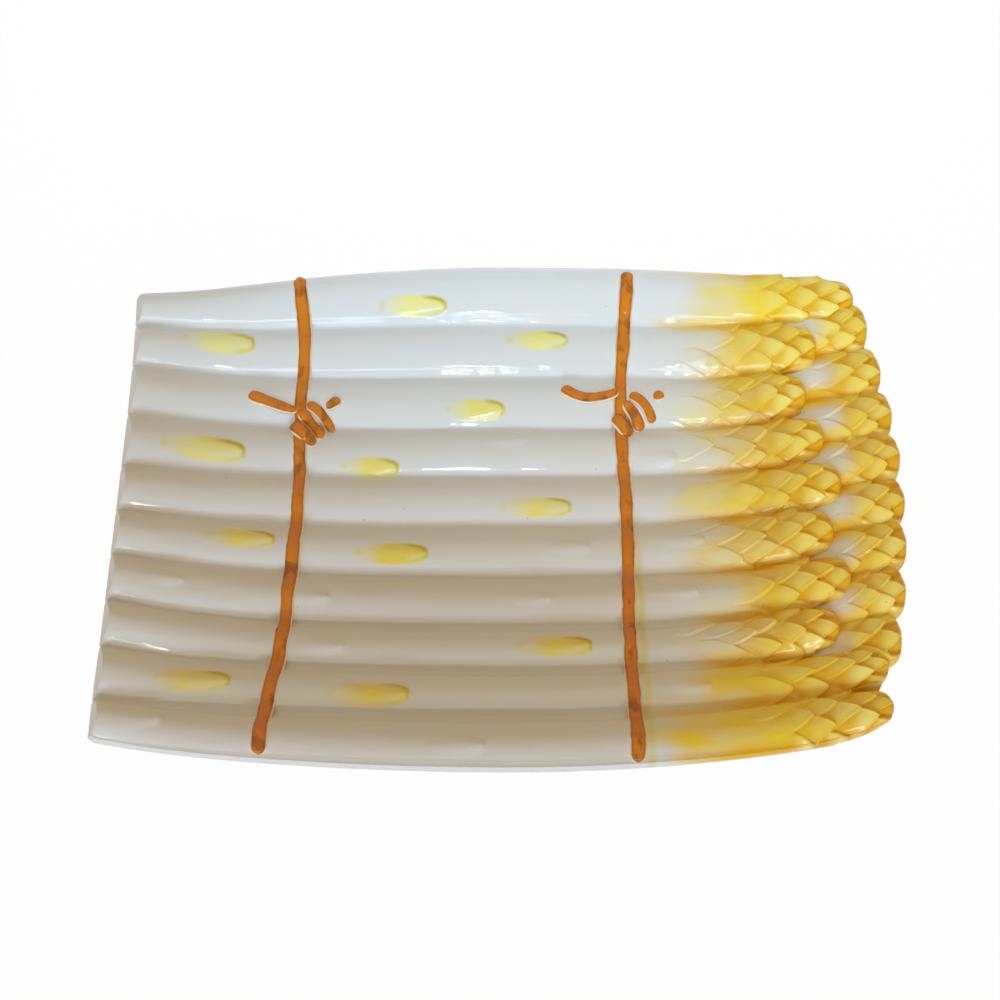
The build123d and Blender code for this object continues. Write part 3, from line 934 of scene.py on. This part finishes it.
def route_curve(name, routes):
    """The routes of some rolls in plan, as smooth splines with the rolls' half widths."""
    line = bpy.data.curves.new(name, "CURVE")
    line.dimensions = "3D"
    for points in routes:
        spline = line.splines.new("NURBS")
        spline.points.add(len(points) - 1)
        for spot, (x, y, *half) in zip(spline.points, points):
            spot.co = (x * MM, y * MM, 0, 1)
            spot.radius = half[0] if half else CORD_HALF_WIDTH
        spline.order_u = 3
        spline.use_endpoint_u = True
        spline.resolution_u = 24
    route = bpy.data.objects.new(name, line)
    bpy.context.scene.collection.objects.link(route)
    return route


def roll_shaping(route):
    """Rolls that follow a route in plan and lie on the bundle, bridging its grooves."""
    work = Shaping("clay_roll", ROLL_SIZES)
    size = work.size
    found = work.step("GeometryNodeObjectInfo", {"Object": route}, transform_space="RELATIVE")
    work.flow = found.outputs["Geometry"]
    work.step("GeometryNodeResampleCurve", {"Length": ROLL_STEP * MM}, mode="LENGTH")

    # Height of the bundle under the route, evened out so that a roll spans the grooves
    bundled = work.node("GeometryNodeCollectionInfo", {"Collection": bundle}, transform_space="RELATIVE")
    ground = work.node("GeometryNodeRealizeInstances", {0: bundled.outputs[0]})
    x, y, _ = work.place_parts()
    ray = work.node("GeometryNodeRaycast", {
        "Target Geometry": ground.outputs[0], "Source Position": work.vector(x, y, ABOVE_BUNDLE * MM),
        "Ray Direction": (0, 0, -1), "Ray Length": 0.2,
    })
    x, y, height = x / MM, y / MM, work.parts(ray.outputs["Hit Position"])[2] / MM
    work.store("ground", height)
    inputs = {"Value": work.stored("ground"), "Iterations": work.given.outputs["Bridge"]}
    evened = work.field(work.node("GeometryNodeBlurAttribute", inputs, data_type="FLOAT"), "Value")

    # Thickness, uneven and with round ends
    spot = work.node("GeometryNodeSplineParameter")
    run = work.field(spot, "Length")
    whole = work.field(work.node("GeometryNodeSplineLength"))
    half = work.field(work.node("GeometryNodeInputRadius"))
    to_end = run.least(whole - run) / MM
    rounded = (1 - (1 - to_end / half).clamp() ** 2).root().most(0.03)
    swell = work.noise(x, y, size("Seed") * 11.0, 0.12) * ROLL_SWELL + 1
    work.store("thickness", rounded * half * swell)
    ends = abs(work.field(spot, "Factor") * 2 - 1)
    arch = (1 - ends * ends) * size("Arch")
    ripple = work.noise(x, y, size("Seed") * 5.0, 0.16) * size("Wobble")
    work.move(x + ripple, y, evened.most(work.stored("ground")) + size("Lift") + arch)

    # A flattened round section, which remembers its flanks
    circle = work.node("GeometryNodeCurvePrimitiveCircle", {"Resolution": ROLL_SIDES, "Radius": MM})
    inputs = {0: circle.outputs[0], "Name": "flank", "Value": abs(work.place_parts()[0]) / MM}
    edged = work.node("GeometryNodeStoreNamedAttribute", inputs, data_type="FLOAT", domain="POINT")
    flat = work.vector(1.0, size("Flatness"), 1.0)
    ring = work.node("GeometryNodeTransform", {0: edged.outputs[0], "Scale": flat})
    work.step("GeometryNodeSetCurveNormal", mode="Z_UP")
    inputs = {"Profile Curve": ring.outputs[0], "Scale": work.stored("thickness"), "Fill Caps": True}
    work.step("GeometryNodeCurveToMesh", inputs)
    work.finish(CORD_GLAZE)
    return work


def lay_roll(name, routes, node, sizes):
    """The rolls of one piece, laid on the bundle."""
    route = route_curve(name + "_route", routes)
    piece = roll_shaping(route).piece(name, sizes, node, "cord_glaze")
    bpy.data.objects.remove(route)
    return piece


cords = [
    lay_roll("glazed_butt_cord", [BUTT_CORD], "butt_cord", {"Seed": 1}),
    lay_roll("glazed_tip_cord", [TIP_CORD], "tip_cord", {"Seed": 2}),
]
for cord in cords:
    bundle.objects.link(cord)
WRAP = {"Lift": 0.2, "Bridge": 14, "Arch": 0.5, "Wobble": 0.0}
LONG_TAIL = {"Lift": 0.4, "Bridge": 40, "Wobble": 0.0}
SHORT_TAIL = {"Lift": 0.3, "Bridge": 10, "Wobble": 0.0}
lay_roll("glazed_butt_knot_wraps", BUTT_WRAPS, "butt_knot_wraps", {**WRAP, "Seed": 3})
lay_roll("glazed_butt_knot_long_tail", [BUTT_LONG_TAIL], "butt_knot_long_tail", {**LONG_TAIL, "Seed": 4})
lay_roll("glazed_butt_knot_short_tail", [BUTT_SHORT_TAIL], "butt_knot_short_tail", {**SHORT_TAIL, "Seed": 5})
lay_roll("glazed_tip_knot_wraps", TIP_WRAPS, "tip_knot_wraps", {**WRAP, "Seed": 6})
lay_roll("glazed_tip_knot_long_tail", [TIP_LONG_TAIL], "tip_knot_long_tail", {**LONG_TAIL, "Seed": 7})
lay_roll("glazed_tip_knot_short_tail", [TIP_SHORT_TAIL], "tip_knot_short_tail", {**SHORT_TAIL, "Seed": 8})
bpy.data.collections.remove(bundle)

# Camera, light and table
CAMERA_ELEVATION = math.radians(65)
CAMERA_DISTANCE = 674 * MM
CAMERA_AIM = Vector((-4.3, 14.0, 3.5)) * MM
CAMERA_FOCAL_PIXELS = 1475.0
FRAME_PIXELS = 1000.0
ROOM_COLOUR = (0.82, 0.59, 0.29)
ROOM_LEVEL = 0.48
TABLE_HALF_SIZE = 4.0
TABLE_COLOUR = (0.85, 0.85, 0.85)
TABLE_SHOWS_WHITE = 0.985   # the rest of what is seen of the table is its own shaded surface


def camera():
    lens = bpy.data.cameras.new("camera")
    lens.sensor_width = 36.0
    lens.lens = CAMERA_FOCAL_PIXELS / FRAME_PIXELS * lens.sensor_width
    lens.clip_start = 0.01
    view = bpy.data.objects.new("camera", lens)
    back = Vector((0, -math.cos(CAMERA_ELEVATION), math.sin(CAMERA_ELEVATION)))
    view.location = CAMERA_AIM + back * CAMERA_DISTANCE
    view.rotation_euler = (math.pi / 2 - CAMERA_ELEVATION, 0, 0)
    bpy.context.scene.collection.objects.link(view)
    bpy.context.scene.camera = view


def hang(lamp, place, aim, power, colour, mirrored):
    """Put a lamp in its place. One that is not mirrored lights the glaze but shows no reflection in it."""
    lamp.energy = power
    lamp.color = colour
    body = bpy.data.objects.new(lamp.name, lamp)
    body.visible_glossy = mirrored
    body.location = place
    body.rotation_euler = (Vector(aim) - Vector(place)).to_track_quat("-Z", "Y").to_euler()
    bpy.context.scene.collection.objects.link(body)


def soft_box(name, place, aim, width, power, colour, mirrored=True):
    """A rectangular lamp with soft shadows."""
    lamp = bpy.data.lights.new(name, "AREA")
    lamp.shape = "RECTANGLE"
    lamp.size, lamp.size_y = width
    hang(lamp, place, aim, power, colour, mirrored)


def beam(name, place, aim, reach, power, colour):
    """A soft round pool of light, reach metres from its middle to its edge, without a glint of its own."""
    lamp = bpy.data.lights.new(name, "SPOT")
    span = (Vector(aim) - Vector(place)).length
    lamp.spot_size = 2 * math.atan(reach / span)
    lamp.spot_blend = 0.25
    lamp.shadow_soft_size = 0.12
    hang(lamp, place, aim, power, colour, False)


def seen_directly(nodes, links):
    """1 for rays that show the background: straight from the camera, off gloss or through glass."""
    path = nodes.new("ShaderNodeLightPath")
    total = path.outputs["Is Camera Ray"]
    for name in ("Is Glossy Ray", "Is Transmission Ray"):
        most = nodes.new("ShaderNodeMath")
        most.operation = "MAXIMUM"
        links.new(total, most.inputs[0])
        links.new(path.outputs[name], most.inputs[1])
        total = most.outputs[0]
    return total


def surroundings():
    """White where the background shows, warm and dim as light on the plate."""
    world = bpy.data.worlds.new("surroundings")
    world.use_nodes = True
    bpy.context.scene.world = world
    nodes, links = world.node_tree.nodes, world.node_tree.links
    light = nodes["Background"]
    light.inputs["Color"].default_value = (*ROOM_COLOUR, 1)
    light.inputs["Strength"].default_value = ROOM_LEVEL
    white = nodes.new("ShaderNodeBackground")
    white.inputs["Color"].default_value = (1, 1, 1, 1)
    choose = nodes.new("ShaderNodeMixShader")
    links.new(seen_directly(nodes, links), choose.inputs[0])
    links.new(light.outputs[0], choose.inputs[1])
    links.new(white.outputs[0], choose.inputs[2])
    links.new(choose.outputs[0], nodes["World Output"].inputs["Surface"])


def table():
    """A pale floor that shows white and keeps a soft shadow."""
    net = bmesh.new()
    bmesh.ops.create_grid(net, x_segments=1, y_segments=1, size=TABLE_HALF_SIZE)
    mesh = bpy.data.meshes.new("table")
    net.to_mesh(mesh)
    net.free()
    material = bpy.data.materials.new("table")
    material.use_nodes = True
    nodes, links = material.node_tree.nodes, material.node_tree.links
    matt = nodes["Principled BSDF"]
    matt.inputs["Base Color"].default_value = (*TABLE_COLOUR, 1)
    matt.inputs["Roughness"].default_value = 1.0
    matt.inputs["Specular IOR Level"].default_value = 0.0
    glow = nodes.new("ShaderNodeEmission")
    mix = nodes.new("ShaderNodeMixShader")
    share = nodes.new("ShaderNodeMath")
    share.operation = "MULTIPLY"
    share.inputs[1].default_value = TABLE_SHOWS_WHITE
    links.new(seen_directly(nodes, links), share.inputs[0])
    links.new(share.outputs[0], mix.inputs[0])
    links.new(matt.outputs[0], mix.inputs[1])
    links.new(glow.outputs[0], mix.inputs[2])
    links.new(mix.outputs[0], nodes["Material Output"].inputs["Surface"])
    mesh.materials.append(material)
    floor = bpy.data.objects.new("table", mesh)
    bpy.context.scene.collection.objects.link(floor)


def lamps():
    """A window on the near side, two glints, weak light from the back and the left, two beams from above."""
    soft_box("window_lamp", (-0.25, -1.60, 0.57), (0, 0, 0), (1.20, 0.30), 13.0, (0.52, 0.73, 0.96))
    soft_box("glint_lamp", (-0.03, -1.50, 0.85), (0, 0, 0), (0.09, 0.11), 1.8, (0.80, 0.92, 1.0))
    soft_box("tip_glint_lamp", (0.38, -1.40, 0.80), (0.1, 0, 0), (0.24, 0.10), 2.8, (1.0, 0.98, 0.94))
    soft_box("back_lamp", (0.15, 1.50, 0.80), (0, 0, 0), (0.60, 0.40), 2.4, (1.0, 0.86, 0.64),
             mirrored=False)
    soft_box("side_lamp", (-0.85, -0.45, 1.05), (-0.1, 0, 0), (0.50, 0.35), 0.9, (0.74, 0.88, 1.0),
             mirrored=False)
    beam("ceiling_lamp", (0.05, 0.10, 1.20), (0, 0.408, 0), 0.365, 50.0, (0.43, 0.72, 1.0))
    beam("tip_lamp", (0.30, -0.20, 1.20), (0.160, 0.03, 0.02), 0.11, 9.0, (1.0, 0.92, 0.66))


camera()
surroundings()
table()
lamps()
bpy.context.scene.view_settings.view_transform = "Standard"
